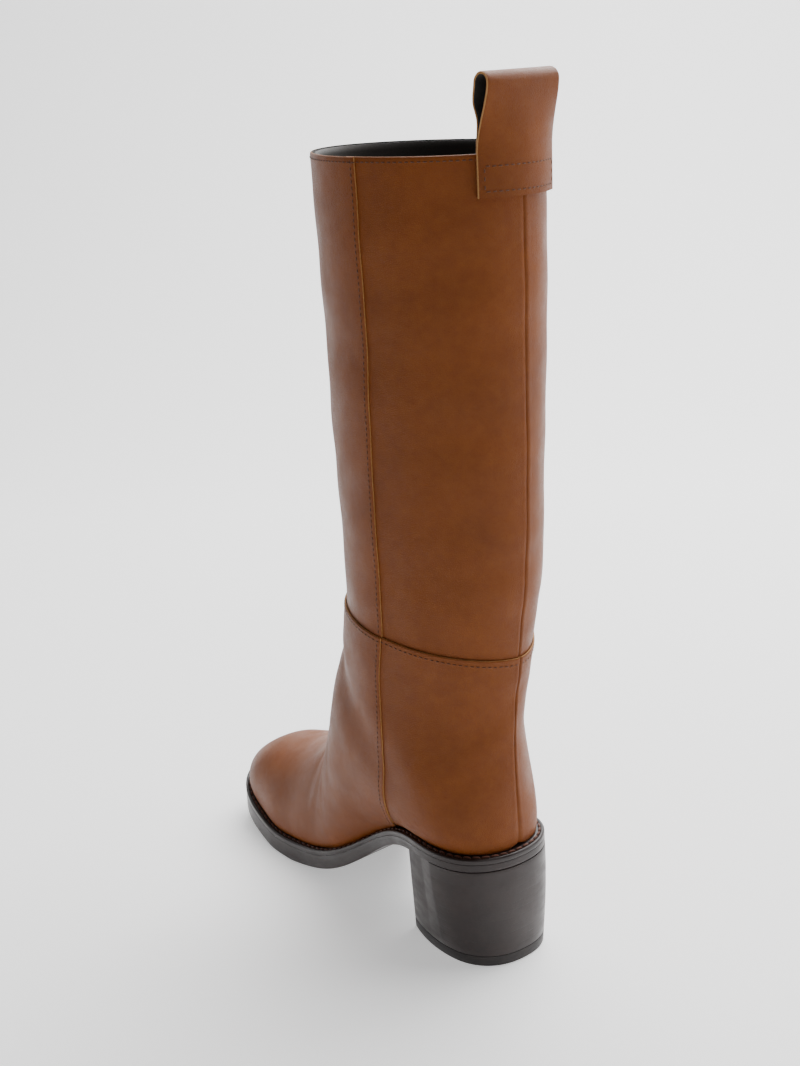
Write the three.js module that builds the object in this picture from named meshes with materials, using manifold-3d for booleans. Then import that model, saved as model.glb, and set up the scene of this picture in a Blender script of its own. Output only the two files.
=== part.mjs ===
// A left knee-high pull-on boot: a round-toed leather foot and a wide leather shaft joined by a lapped seam
// above the ankle, on a stitched welt, a leather outsole and a tall stacked block heel, with a folded pull loop
// sewn to the back of the collar.
//
// Millimetres, +Z up. The boot stands on z = 0 with its toe towards -Y and its outer (lateral) side towards +X.
// The origin is the centre of the heel's floor face. Lengths along the foot are counted forwards from the
// rearmost point of the heel seat, and called `along`.
import * as THREE from "three";
import { mergeVertices } from "three/addons/utils/BufferGeometryUtils.js";
import Module from "manifold-3d";

const wasm = await Module();
wasm.setup();

// Driving dimensions
const HEEL_BACK_Y = 32; // y of along = 0
const GAP = 0.3; // clearance between neighbouring pieces
const WALL = 2.2; // upper leather and its lining
const LAP_SKIN = 1.0; // outer leather of the upper where it laps over the shaft
const LAP = 9; // height of that lap
const SHAFT_INSET = LAP_SKIN + GAP; // how far the shaft lies inside the upper's surface
const LEDGE = 4.3; // welt that shows outside the upper
const WELT_THICK = 3;
const WELT_SEAT = 6; // welt that lies under the upper
const INSOLE_RISE = 1.2; // insole above the welt's top face
const TOP_PIECE = 6; // wearing layer under the heel
const AROUND = 36; // points round a section of the upper
const STEP = 10; // spacing of those sections along the foot, at most
const SHAFT_STEP = 24; // and along the straighter shaft
const TIP_ZONE = 36; // stretch at the toe's tip where they close up
const TIP_SECTIONS = 9;
const TIP_CROWDING = 2.5; // power by which they crowd towards it
const PLATE_STATIONS = 46; // stations along the welt, insole and outsole
const PLATE_END = 0.35; // station spacings left at each end of a plate
const FEATHER_STEP = 0.8; // spacing of the points that trace the upper's foot
const PAST = 20; // how far a cut runs past the piece it opens
const THROUGH = 1; // and past a plate's two faces
const HALVINGS = 30; // halvings of a bracketed root
const NEAR_U = 0.05; // steps of the surface's slopes
const NEAR_ANGLE = 0.01;
// A block that reaches past the whole foot, for cuts along its height profiles.
const BLOCK = { from: -40, to: 310, low: -60, high: 160, width: 240, stations: 66 };

// The last, as sections fanned from the toe to the collar. Each section lies in the plane through its front
// point (on the vamp, instep or shin) and its back point (under the foot, then up the heel and calf).
// outer and inner are half-widths about a middle moved sideways by shift, widest is where they lie as a share of
// the way from back to front, and round is the front half's superellipse power. The back half is tucked in to
// the feather half-widths where it meets the welt.
const SECTION_COLUMNS = ["name", "frontAlong", "frontZ", "backAlong", "backZ",
  "outer", "inner", "shift", "widest", "round", "rear", "featherOuter", "featherInner"];
const SECTIONS = [
  ["tip", 258, 49.5, 258, 23, 38, 38, -19, 0.26, 2.1, 2, 36, 36],
  ["toe", 236.5, 54.5, 236.5, 16, 39, 39, -21, 0.31, 2.1, 2, 37, 37],
  ["tread", 214.5, 59, 215.5, 10, 40.5, 40.5, -22.5, 0.34, 2.15, 2, 38, 38],
  ["ball", 192, 65.5, 195, 6.5, 43, 43, -23.5, 0.34, 2.1, 2, 41, 41.5],
  ["vamp", 169, 78.5, 174, 7, 41.5, 43.5, -20, 0.34, 2.05, 2, 38.5, 42],
  ["instep", 149, 96, 149, 12, 38, 39, -13, 0.36, 2, 2, 33, 34.5],
  ["waist", 136.5, 118.5, 118, 28, 38, 35, -5, 0.42, 2, 2, 26, 27.5],
  ["throat", 128.5, 139.5, 85.5, 48, 40, 35, -1, 0.46, 2, 2, 23, 22],
  ["seat", 124.5, 156, 47.5, 58, 42, 37, 1, 0.5, 2, 2, 28.5, 27],
  ["heel", 120, 168, 4.5, 59.5, 43, 39, 1.5, 0.53, 2, 2, 25.5, 24],
  ["counter", 117, 177.5, 1, 89.5, 44.5, 39.5, 1.5, 0.55, 2, 2, 0, 0],
  ["achilles", 114.5, 186, 2, 131, 46, 40, 1, 0.56, 2, 1.68, 0, 0],
  ["ankle", 113, 195, -3.5, 175, 47.5, 45, 0.5, 0.55, 1.95, 1.77, 0, 0],
  ["calf", 115.5, 256.5, -11, 237.5, 50, 49, 0, 0.54, 1.9, 1.82, 0, 0],
  ["shin", 118, 332.5, -14, 325, 52, 52, 0, 0.52, 1.9, 1.85, 0, 0],
  ["collar", 120.5, 429.5, -15.5, 429.5, 55, 54.5, 0, 0.5, 1.9, 1.85, 0, 0],
].map(asRow(SECTION_COLUMNS));
const TOE_TIP = SECTIONS[0].frontAlong;
const TOE_PLAN = { length: 66, power: 2.2 }; // how the width closes to the toe's tip
const TOE_SIDE = { length: 32, power: 2 }; // how the height does

// The top of the welt, on which the upper stands, and the underside of the outsole, as heights along the foot.
const SOLE_COLUMNS = ["along", "top", "under"];
const SOLE = [
  [-9.5, 67, 59.4],
  [28.5, 66, 58.4],
  [47.5, 65.2, 57.6],
  [66.5, 62, 53.7],
  [85.5, 54.6, 44.8],
  [104.5, 42.8, 31.3],
  [123.5, 30.4, 18.2],
  [142.5, 20.9, 8.8],
  [161.5, 15.5, 3],
  [180.5, 13.3, 0],
  [201.5, 13.3, 0],
  [226, 18.5, 4.8],
  [273.5, 33.2, 18.5],
].map(asRow(SOLE_COLUMNS));

// The heel block's outline at the floor and at its top. back and breast are its ends along the foot, outer and
// inner its half-widths, drawn in to breastOuter and breastInner at the breast, and the back is a superellipse
// of the given depth and power.
const HEEL_COLUMNS = [
  "z", "back", "breast", "outer", "inner", "breastOuter", "breastInner", "depth", "power",
];
const HEEL = [
  [0, -0.5, 67.5, 29.5, 28.5, 20.5, 20.5, 30, 2.3],
  [59, -4, 62, 34.5, 32, 28, 26, 33, 2.3],
].map(asRow(HEEL_COLUMNS));
const BREAST_HOLLOW = 4; // how far the breast curves in
const HEEL_FLANK = 7; // points along each side, round the back and across the breast
const HEEL_REAR = 24;
const HEEL_BREAST = 9;

// The pull loop: a strap folded in two, both ends sewn outside the shaft.
const LOOP = { halfWidth: 23, thick: 1.4, sewn: 20, rise: 36, curl: 5, flatness: 0.85, reach: 0.9 };
const LOOP_ACROSS = 9; // points across the strap
const LOOP_BOW = [[0.8, 6], [3.6, 15], [8.9, 22]]; // the front ply's set inwards, and its height
const LOOP_BACK = [19, 10, -1]; // heights of the straight back ply
const LOOP_FOLD = 6; // steps round the fold

function asRow(columns) {
  return (values) => Object.fromEntries(columns.map((name, i) => [name, values[i]]));
}

// Natural cubic spline through (knots, values).
function spline(knots, values) {
  const n = knots.length;
  const bend = new Array(n).fill(0);
  const carry = new Array(n).fill(0);
  for (let i = 1; i < n - 1; i++) {
    const before = knots[i] - knots[i - 1];
    const after = knots[i + 1] - knots[i];
    const pivot = 2 * (before + after) - before * carry[i - 1];
    const slopes = (values[i + 1] - values[i]) / after - (values[i] - values[i - 1]) / before;
    carry[i] = after / pivot;
    bend[i] = (6 * slopes - before * bend[i - 1]) / pivot;
  }
  for (let i = n - 2; i > 0; i--) bend[i] -= carry[i] * bend[i + 1];
  return (at) => {
    let i = 0;
    while (i < n - 2 && at > knots[i + 1]) i++;
    const span = knots[i + 1] - knots[i];
    const b = (at - knots[i]) / span;
    const a = 1 - b;
    const cubic = (a * a * a - a) * bend[i] + (b * b * b - b) * bend[i + 1];
    return a * values[i] + b * values[i + 1] + (cubic * span * span) / 6;
  };
}

const soleTop = spline(SOLE.map((row) => row.along), SOLE.map((row) => row.top));
const underCurve = spline(SOLE.map((row) => row.along), SOLE.map((row) => row.under));
const soleUnder = (along) => Math.max(underCurve(along), 0); // flat on the floor under the ball

// The sections' knots are the mean travel of their two end points, so u is in millimetres along the boot.
const KNOTS = SECTIONS.reduce((knots, row, i) => {
  if (i === 0) return [0];
  const last = SECTIONS[i - 1];
  const front = Math.hypot(row.frontAlong - last.frontAlong, row.frontZ - last.frontZ);
  const back = Math.hypot(row.backAlong - last.backAlong, row.backZ - last.backZ);
  return [...knots, knots[i - 1] + (front + back) / 2];
}, []);

// The superellipse power that brings a section of a given half-width in to its feather half-width at the welt.
function tuck(row, width, feather) {
  if (!feather) return row.rear;
  const depth = (row.frontZ - row.backZ) * row.widest;
  const level = 1 - (soleTop(row.backAlong) - row.backZ) / depth;
  let [low, high] = [1.2, 6];
  for (let i = 0; i < HALVINGS; i++) {
    const middle = (low + high) / 2;
    if ((1 - level ** middle) ** (1 / middle) * width < feather) low = middle;
    else high = middle;
  }
  return low;
}

SECTIONS.forEach((row) => {
  row.baseOuter = tuck(row, row.outer, row.featherOuter);
  row.baseInner = tuck(row, row.inner, row.featherInner);
});
const column = Object.fromEntries(
  Object.keys(SECTIONS[0]).slice(1).map((name) => [name, spline(KNOTS, SECTIONS.map((row) => row[name]))]),
);
const uOf = (name) => KNOTS[SECTIONS.findIndex((row) => row.name === name)];
const U_SEAM = uOf("ankle");
const U_COLLAR = uOf("collar");
const U_STRAIGHT = uOf("calf");

const signedPower = (value, power) => Math.sign(value) * Math.abs(value) ** power;

function closing(distance, { length, power }) {
  const t = Math.min(Math.max(distance / length, 0), 1);
  return (1 - (1 - t) ** power) ** (1 / power);
}

// A point on the last at section u, angle 0 at the outer side and a quarter turn at the front.
function lastPoint(u, angle) {
  const at = (name) => column[name](u);
  const c = Math.cos(angle);
  const s = Math.sin(angle);
  const base = c > 0 ? at("baseOuter") : at("baseInner");
  const power = 2 / (s >= 0 ? at("round") : base);
  const toTip = TOE_TIP - at("frontAlong");
  const width = (c > 0 ? at("outer") : at("inner")) * closing(toTip, TOE_PLAN);
  const reach = signedPower(s, power) * closing(toTip, TOE_SIDE);
  const widest = at("widest");
  const share = widest + reach * (reach > 0 ? 1 - widest : widest);
  const along = at("backAlong") + (at("frontAlong") - at("backAlong")) * share;
  const z = at("backZ") + (at("frontZ") - at("backZ")) * share;
  return new THREE.Vector3(signedPower(c, power) * width + at("shift"), HEEL_BACK_Y - along, z);
}

// The same point moved inwards from the last's surface.
function skinPoint(u, angle, inset) {
  const low = Math.max(u, 1.5 * NEAR_U) - NEAR_U;
  const middle = low + NEAR_U;
  const alongU = lastPoint(middle + NEAR_U, angle).sub(lastPoint(low, angle));
  const round = lastPoint(middle, angle + NEAR_ANGLE).sub(lastPoint(middle, angle - NEAR_ANGLE));
  const outwards = alongU.cross(round).normalize();
  return lastPoint(u, angle).addScaledVector(outwards, -inset);
}

const angles = Array.from({ length: AROUND }, (_, i) => (2 * Math.PI * (i + 0.5)) / AROUND);

// Section positions from u0 to u1: close together at the toe's tip and wider apart up the straight shaft.
function sectionsFrom(u0, u1) {
  const tip = Array.from(
    { length: TIP_SECTIONS },
    (_, i) => TIP_ZONE * ((i + 1) / (TIP_SECTIONS + 1)) ** TIP_CROWDING,
  );
  const evenly = (from, to, step) => {
    const count = Math.max(Math.ceil((to - from) / step), 0);
    return Array.from({ length: count }, (_, i) => from + ((to - from) * i) / count);
  };
  const foot = u0 > 0 ? u0 : TIP_ZONE;
  const straight = Math.max(Math.min(U_STRAIGHT, u1), foot);
  return [...(u0 > 0 ? [] : tip), ...evenly(foot, straight, STEP), ...evenly(straight, u1, SHAFT_STEP), u1];
}

// The triangles between each ring of points and the next.
function wallFaces(rings) {
  const n = rings[0].length;
  const faces = [];
  for (let r = 0; r < rings.length - 1; r++)
    for (let i = 0; i < n; i++) {
      const a = r * n + i;
      const b = r * n + ((i + 1) % n);
      faces.push([a, b, b + n], [a, b + n, a + n]);
    }
  return faces;
}

// A solid from rings of points: walls between the rings, and a fan over each end.
function loftRings(rings) {
  const n = rings[0].length;
  const points = rings.flat();
  const faces = wallFaces(rings);
  [0, rings.length - 1].forEach((r) => {
    const centre = points.length;
    points.push(rings[r].reduce((sum, p) => sum.add(p), new THREE.Vector3()).divideScalar(n));
    for (let i = 0; i < n; i++) {
      const pair = [r * n + i, r * n + ((i + 1) % n)];
      faces.push(r === 0 ? [centre, pair[1], pair[0]] : [centre, pair[0], pair[1]]);
    }
  });
  return asSolid(points, faces);
}

function asSolid(points, faces) {
  const vertProperties = new Float32Array(points.flatMap((p) => p.toArray()));
  const triVerts = new Uint32Array(faces.flat());
  const made = new wasm.Manifold(new wasm.Mesh({ numProp: 3, vertProperties, triVerts }));
  if (made.volume() > 0) return made;
  return asSolid(points, faces.map(([a, b, c]) => [a, c, b]));
}

function solidOf(geometry) {
  const bare = new THREE.BufferGeometry().setAttribute("position", geometry.getAttribute("position"));
  if (geometry.index) bare.setIndex(geometry.index);
  const merged = mergeVertices(bare, 1e-4);
  const vertProperties = new Float32Array(merged.attributes.position.array);
  const triVerts = new Uint32Array(merged.index.array);
  return new wasm.Manifold(new wasm.Mesh({ numProp: 3, vertProperties, triVerts }));
}

function geometryOf(solid) {
  const mesh = solid.getMesh();
  const geometry = new THREE.BufferGeometry();
  geometry.setAttribute("position", new THREE.BufferAttribute(new Float32Array(mesh.vertProperties), 3));
  geometry.setIndex(new THREE.BufferAttribute(new Uint32Array(mesh.triVerts), 1));
  geometry.computeVertexNormals();
  return geometry;
}

const lastSolid = (u0, u1, inset) =>
  loftRings(sectionsFrom(u0, u1).map((u) => angles.map((angle) => skinPoint(u, angle, inset))));

// Everything under (side -1) or over (side +1) a height profile of the foot, as a block right across it.
function profileBlock(height, side) {
  const { from, to, low, high, width } = BLOCK;
  const far = side > 0 ? high : low;
  const outline = Array.from({ length: BLOCK.stations + 1 }, (_, i) => {
    const along = from + ((to - from) * i) / BLOCK.stations;
    return new THREE.Vector2(along, height(along));
  });
  const shape = new THREE.Shape([...outline, new THREE.Vector2(to, far), new THREE.Vector2(from, far)]);
  const block = new THREE.ExtrudeGeometry(shape, { depth: width, bevelEnabled: false });
  // The shape's x is along the foot and its depth is across it.
  const turned = new THREE.Matrix4();
  turned.set(0, 0, -1, width / 2, -1, 0, 0, HEEL_BACK_Y, 0, 1, 0, 0, 0, 0, 0, 1);
  block.applyMatrix4(turned);
  return solidOf(block);
}

// Where the last meets the welt's top face, from the toe to the heel, on the outer (+1) or inner (-1) side.
function featherLine(side) {
  const clear = (p) => p.z - soleTop(HEEL_BACK_Y - p.y);
  const line = [];
  for (let u = FEATHER_STEP / 2; u < uOf("achilles"); u += FEATHER_STEP) {
    let under = -Math.PI / 2;
    let over = side > 0 ? 0 : -Math.PI;
    if (clear(lastPoint(u, under)) > 0) continue;
    for (let i = 0; i < HALVINGS; i++) {
      const middle = (under + over) / 2;
      if (clear(lastPoint(u, middle)) > 0) over = middle;
      else under = middle;
    }
    line.push(lastPoint(u, under));
  }
  return line;
}

const featherSides = [featherLine(1), featherLine(-1).reverse()];

// The feather line moved outwards by offset, as an outer and an inner edge at any place along the foot.
function soleOutline(offset) {
  const loop = featherSides.flat().map((p) => new THREE.Vector2(p.x, HEEL_BACK_Y - p.y));
  const n = loop.length;
  const moved = loop.map((p, i) => {
    const tangent = loop[(i + 2) % n].clone().sub(loop[(i - 2 + n) % n]).normalize();
    return new THREE.Vector2(p.x - tangent.y * offset, p.y + tangent.x * offset);
  });
  const turn = featherSides[0].length;
  const sides = [moved.slice(0, turn), moved.slice(turn).reverse()];
  const reach = moved.map((p) => p.y);
  const across = (side, along) => {
    const i = side.findIndex((p, k) => k > 0 && p.y <= along);
    const [a, b] = [side[i - 1], side[i]];
    return b.x + ((a.x - b.x) * (along - b.y)) / (a.y - b.y);
  };
  return {
    heel: Math.min(...reach),
    toe: Math.max(...reach),
    outer: (along) => across(sides[0], along),
    inner: (along) => across(sides[1], along),
  };
}

// A plate between two height profiles, its edge lying offset outside the feather line.
function solePlate(offset, top, under) {
  const { heel, toe, outer, inner } = soleOutline(offset);
  const rings = Array.from({ length: PLATE_STATIONS }, (_, i) => {
    // Stations crowd together at the toe and the heel, where the outline turns.
    const t = (i + PLATE_END) / (PLATE_STATIONS - 1 + 2 * PLATE_END);
    const along = heel + ((toe - heel) * (1 - Math.cos(Math.PI * t))) / 2;
    const corner = (x, z) => new THREE.Vector3(x, HEEL_BACK_Y - along, z);
    const [a, b] = [outer(along), inner(along)];
    return [corner(a, top(along)), corner(b, top(along)), corner(b, under(along)), corner(a, under(along))];
  });
  return loftRings(rings);
}

const weltUnder = (along) => soleTop(along) - WELT_THICK;
const outsoleTop = (along) => weltUnder(along) - GAP;
const underSole = profileBlock((along) => soleTop(along) + GAP, -1);

function makeUpper() {
  const inside = lastSolid(0, U_SEAM + PAST, WALL);
  const lapCavity = lastSolid(U_SEAM - LAP, U_SEAM + PAST, LAP_SKIN);
  return lastSolid(0, U_SEAM, 0).subtract(inside).subtract(lapCavity).subtract(underSole);
}

function makeShaft() {
  const outside = lastSolid(U_SEAM - LAP + GAP, U_COLLAR, SHAFT_INSET);
  return outside.subtract(lastSolid(U_SEAM - LAP - PAST, U_COLLAR + PAST, SHAFT_INSET + WALL));
}

function makeWelt() {
  const above = (along) => soleTop(along) + THROUGH;
  const below = (along) => weltUnder(along) - THROUGH;
  const hole = solePlate(-WELT_SEAT, above, below);
  return solePlate(LEDGE, soleTop, weltUnder).subtract(hole);
}

const makeInsole = () => solePlate(-WELT_SEAT - GAP, (along) => soleTop(along) + INSOLE_RISE, weltUnder);
const makeOutsole = () => solePlate(LEDGE, outsoleTop, soleUnder);

// The heel's outline at a height, from the outer breast corner round the back to the inner one.
function heelRing(z) {
  const t = z / HEEL[1].z;
  const mix = (name) => HEEL[0][name] + (HEEL[1][name] - HEEL[0][name]) * t;
  const widest = mix("back") + mix("depth");
  const half = (side) => (side > 0 ? mix("outer") : mix("inner"));
  const atBreast = (side) => (side > 0 ? mix("breastOuter") : mix("breastInner"));
  const flank = (side) =>
    Array.from({ length: HEEL_FLANK }, (_, i) => {
      const s = 1 - i / HEEL_FLANK;
      const across = half(side) + (atBreast(side) - half(side)) * s * s;
      return [side * across, widest + (mix("breast") - widest) * s];
    });
  const rear = Array.from({ length: HEEL_REAR + 1 }, (_, i) => {
    const angle = (Math.PI * i) / HEEL_REAR;
    const across = signedPower(Math.cos(angle), 2 / mix("power"));
    return [across * half(across), widest - Math.sin(angle) ** (2 / mix("power")) * mix("depth")];
  });
  const breast = Array.from({ length: HEEL_BREAST - 1 }, (_, i) => {
    const s = (2 * (i + 1)) / HEEL_BREAST - 1;
    return [s * atBreast(s), mix("breast") - BREAST_HOLLOW * (1 - s * s)];
  });
  const loop = [...flank(1), ...rear, ...flank(-1).reverse(), ...breast];
  return loop.map(([x, along]) => new THREE.Vector3(x, HEEL_BACK_Y - along, z));
}

function makeHeel() {
  const block = loftRings([TOP_PIECE + GAP, HEEL[1].z + PAST].map(heelRing));
  return block.subtract(profileBlock((along) => soleUnder(along) - GAP, 1));
}

const makeTopPiece = () => loftRings([0, TOP_PIECE].map(heelRing));

// The strap's middle line, as distance out from the shaft and height above the collar.
function loopPath() {
  const innerPly = GAP + LOOP.thick / 2;
  const outerPly = innerPly + LOOP.thick + GAP;
  const sewn = [-LOOP.sewn, -LOOP.sewn / 2, -1];
  const route = sewn.map((up) => [innerPly, up]);
  route.push(...LOOP_BOW.map(([inwards, up]) => [innerPly - inwards, up]));
  for (let i = 0; i <= LOOP_FOLD; i++) {
    const angle = Math.PI - (Math.PI * i) / LOOP_FOLD;
    const out = outerPly - LOOP.curl + LOOP.curl * Math.cos(angle);
    route.push([out, LOOP.rise - LOOP.curl + LOOP.curl * Math.sin(angle)]);
  }
  route.push(...[...LOOP_BACK, -LOOP.sewn / 2, -LOOP.sewn].map((up) => [outerPly, up]));
  return route.map(([out, up]) => new THREE.Vector2(out, up));
}

function makePullLoop() {
  const path = loopPath();
  const collar = (angle) => skinPoint(U_COLLAR, angle, SHAFT_INSET);
  // Strap stations hug the shaft's curve where they are sewn and flatten towards the fold.
  const place = (share, out, up) => {
    const x = LOOP.halfWidth * share;
    let [low, high] = [-Math.PI / 2 - LOOP.reach, -Math.PI / 2 + LOOP.reach];
    for (let i = 0; i < HALVINGS; i++) {
      const middle = (low + high) / 2;
      if (collar(middle).x < x) low = middle;
      else high = middle;
    }
    const u = U_COLLAR + Math.min(up, 0);
    const onShaft = skinPoint(u, low, SHAFT_INSET - out);
    const lift = Math.max(up, 0);
    const flat = THREE.MathUtils.smoothstep(lift, 0, LOOP.rise) * LOOP.flatness;
    const straight = skinPoint(U_COLLAR, -Math.PI / 2, SHAFT_INSET - out);
    const point = onShaft.clone().lerp(new THREE.Vector3(x, straight.y, onShaft.z), flat);
    return point.setZ(onShaft.z + lift);
  };
  const normals = path.map((p, i) => {
    const along = path[Math.min(i + 1, path.length - 1)].clone().sub(path[Math.max(i - 1, 0)]).normalize();
    return new THREE.Vector2(-along.y, along.x);
  });
  const rings = path.map((p, i) => {
    const row = (side) => Array.from({ length: LOOP_ACROSS }, (_, k) => {
      const share = -1 + (2 * k) / (LOOP_ACROSS - 1);
      const q = p.clone().addScaledVector(normals[i], (side * LOOP.thick) / 2);
      return place(share, q.x, q.y);
    });
    return [...row(1), ...row(-1).reverse()];
  });
  return loftStrap(rings);
}

// As loftRings, with each flat end closed by quads across the strap.
function loftStrap(rings) {
  const n = rings[0].length;
  const points = rings.flat();
  const faces = wallFaces(rings);
  [0, rings.length - 1].forEach((r) => {
    for (let i = 0; i < n / 2 - 1; i++) {
      const quad = [r * n + i, r * n + i + 1, r * n + n - 2 - i, r * n + n - 1 - i];
      const order = r === 0 ? [quad[3], quad[2], quad[1], quad[0]] : quad;
      faces.push([order[0], order[1], order[2]], [order[0], order[2], order[3]]);
    }
  });
  return asSolid(points, faces);
}

const leather = new THREE.MeshStandardMaterial({ color: 0x8a4f28, roughness: 0.45, metalness: 0 });
const darkEdge = new THREE.MeshStandardMaterial({ color: 0x2a211f, roughness: 0.35, metalness: 0 });
const stack = new THREE.MeshStandardMaterial({ color: 0x2e2523, roughness: 0.3, metalness: 0 });
const rubber = new THREE.MeshStandardMaterial({ color: 0x1c1918, roughness: 0.7, metalness: 0 });
const lining = new THREE.MeshStandardMaterial({ color: 0x2b2320, roughness: 0.7, metalness: 0 });

const PIECES = [
  ["upper", makeUpper, leather],
  ["shaft", makeShaft, leather],
  ["pull_loop", makePullLoop, leather],
  ["welt", makeWelt, darkEdge],
  ["insole", makeInsole, lining],
  ["outsole", makeOutsole, darkEdge],
  ["heel", makeHeel, stack],
  ["top_piece", makeTopPiece, rubber],
];

const boot = new THREE.Group();
boot.name = "knee_high_boot";
for (const [name, make, material] of PIECES) {
  const mesh = new THREE.Mesh(geometryOf(make()), material);
  mesh.name = name;
  boot.add(mesh);
}

export default boot;
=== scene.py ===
# Looks of a left knee-high pull-on boot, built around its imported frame.
# Metres in the scene; the shape functions work in the boot's own millimetres, +Z up, toe towards -Y and
# outer side towards +X. `along` counts forwards from the rearmost point of the heel seat, and u counts along
# the boot from the toe to the collar.
import math

import bmesh
import bpy
import numpy as np
from mathutils import Matrix, Vector


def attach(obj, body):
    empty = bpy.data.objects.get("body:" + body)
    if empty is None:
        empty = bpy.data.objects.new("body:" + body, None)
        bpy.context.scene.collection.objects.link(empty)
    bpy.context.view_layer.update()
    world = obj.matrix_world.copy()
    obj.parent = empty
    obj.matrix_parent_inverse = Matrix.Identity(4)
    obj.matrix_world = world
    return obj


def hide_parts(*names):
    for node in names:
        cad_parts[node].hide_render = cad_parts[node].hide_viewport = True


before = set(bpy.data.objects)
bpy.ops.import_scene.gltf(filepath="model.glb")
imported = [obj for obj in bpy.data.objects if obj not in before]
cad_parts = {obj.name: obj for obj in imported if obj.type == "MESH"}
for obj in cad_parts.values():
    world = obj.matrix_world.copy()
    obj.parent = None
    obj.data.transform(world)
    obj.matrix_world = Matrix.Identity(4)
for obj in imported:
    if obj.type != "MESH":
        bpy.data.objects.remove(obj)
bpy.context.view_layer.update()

MM = 0.001
HEEL_BACK_Y = 32
GAP = 0.3
LEDGE = 4.3
WELT_THICK = 3
WELT_SEAT = 6
TOP_PIECE = 6
LEATHER = 1.0  # thickness of one layer of upper leather
LAP_UNDER = 7  # how far a lower layer runs on under the one that laps it
LINING_INSET = 2.5
LINING = 0.8

# ---------------------------------------------------------------- the last

SECTION_COLUMNS = ("name", "frontAlong", "frontZ", "backAlong", "backZ", "outer", "inner", "shift",
                   "widest", "round", "rear", "featherOuter", "featherInner")
SECTIONS = [
    ("tip", 258, 49.5, 258, 23, 38, 38, -19, 0.26, 2.1, 2, 36, 36),
    ("toe", 236.5, 54.5, 236.5, 16, 39, 39, -21, 0.31, 2.1, 2, 37, 37),
    ("tread", 214.5, 59, 215.5, 10, 40.5, 40.5, -22.5, 0.34, 2.15, 2, 38, 38),
    ("ball", 192, 65.5, 195, 6.5, 43, 43, -23.5, 0.34, 2.1, 2, 41, 41.5),
    ("vamp", 169, 78.5, 174, 7, 41.5, 43.5, -20, 0.34, 2.05, 2, 38.5, 42),
    ("instep", 149, 96, 149, 12, 38, 39, -13, 0.36, 2, 2, 33, 34.5),
    ("waist", 136.5, 118.5, 118, 28, 38, 35, -5, 0.42, 2, 2, 26, 27.5),
    ("throat", 128.5, 139.5, 85.5, 48, 40, 35, -1, 0.46, 2, 2, 23, 22),
    ("seat", 124.5, 156, 47.5, 58, 42, 37, 1, 0.5, 2, 2, 28.5, 27),
    ("heel", 120, 168, 4.5, 59.5, 43, 39, 1.5, 0.53, 2, 2, 25.5, 24),
    ("counter", 117, 177.5, 1, 89.5, 44.5, 39.5, 1.5, 0.55, 2, 2, 0, 0),
    ("achilles", 114.5, 186, 2, 131, 46, 40, 1, 0.56, 2, 1.68, 0, 0),
    ("ankle", 113, 195, -3.5, 175, 47.5, 45, 0.5, 0.55, 1.95, 1.77, 0, 0),
    ("calf", 115.5, 256.5, -11, 237.5, 50, 49, 0, 0.54, 1.9, 1.82, 0, 0),
    ("shin", 118, 332.5, -14, 325, 52, 52, 0, 0.52, 1.9, 1.85, 0, 0),
    ("collar", 120.5, 429.5, -15.5, 429.5, 55, 54.5, 0, 0.5, 1.9, 1.85, 0, 0),
]
TOE_PLAN = (66, 2.2)  # length and power with which the width closes to the toe's tip
TOE_SIDE = (32, 2)  # and the height

SOLE_COLUMNS = ("along", "top", "under")
SOLE = [
    (-9.5, 67, 59.4), (28.5, 66, 58.4), (47.5, 65.2, 57.6), (66.5, 62, 53.7), (85.5, 54.6, 44.8),
    (104.5, 42.8, 31.3), (123.5, 30.4, 18.2), (142.5, 20.9, 8.8), (161.5, 15.5, 3), (180.5, 13.3, 0),
    (201.5, 13.3, 0), (226, 18.5, 4.8), (273.5, 33.2, 18.5),
]


def spline(knots, values):
    """Natural cubic spline through (knots, values), for arrays."""
    k = np.asarray(knots, float)
    v = np.asarray(values, float)
    n = len(k)
    h = np.diff(k)
    rows = np.zeros((n, n))
    right = np.zeros(n)
    rows[0, 0] = rows[-1, -1] = 1
    for i in range(1, n - 1):
        rows[i, i - 1:i + 2] = h[i - 1], 2 * (h[i - 1] + h[i]), h[i]
        right[i] = 6 * ((v[i + 1] - v[i]) / h[i] - (v[i] - v[i - 1]) / h[i - 1])
    bend = np.linalg.solve(rows, right)

    def at(x):
        x = np.asarray(x, float)
        i = np.clip(np.searchsorted(k, x, side="left") - 1, 0, n - 2)
        span = k[i + 1] - k[i]
        b = (x - k[i]) / span
        a = 1 - b
        cubic = (a ** 3 - a) * bend[i] + (b ** 3 - b) * bend[i + 1]
        return a * v[i] + b * v[i + 1] + cubic * span * span / 6

    return at


table = {name: np.array([row[i] for row in SECTIONS], float)
         for i, name in enumerate(SECTION_COLUMNS) if i}
sole = {name: np.array([row[i] for row in SOLE], float) for i, name in enumerate(SOLE_COLUMNS)}
sole_top = spline(sole["along"], sole["top"])
under_curve = spline(sole["along"], sole["under"])


def sole_under(along):
    return np.maximum(under_curve(along), 0)


def welt_under(along):
    return sole_top(along) - WELT_THICK


travel = (np.hypot(np.diff(table["frontAlong"]), np.diff(table["frontZ"]))
          + np.hypot(np.diff(table["backAlong"]), np.diff(table["backZ"]))) / 2
KNOTS = np.concatenate([[0], np.cumsum(travel)])
U = {row[0]: float(KNOTS[i]) for i, row in enumerate(SECTIONS)}


def tuck(i, width, feather):
    if not feather:
        return table["rear"][i]
    depth = (table["frontZ"][i] - table["backZ"][i]) * table["widest"][i]
    level = 1 - (sole_top(table["backAlong"][i]) - table["backZ"][i]) / depth
    low, high = 1.2, 6
    for _ in range(30):
        middle = (low + high) / 2
        if (1 - level ** middle) ** (1 / middle) * width < feather:
            low = middle
        else:
            high = middle
    return low


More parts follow.
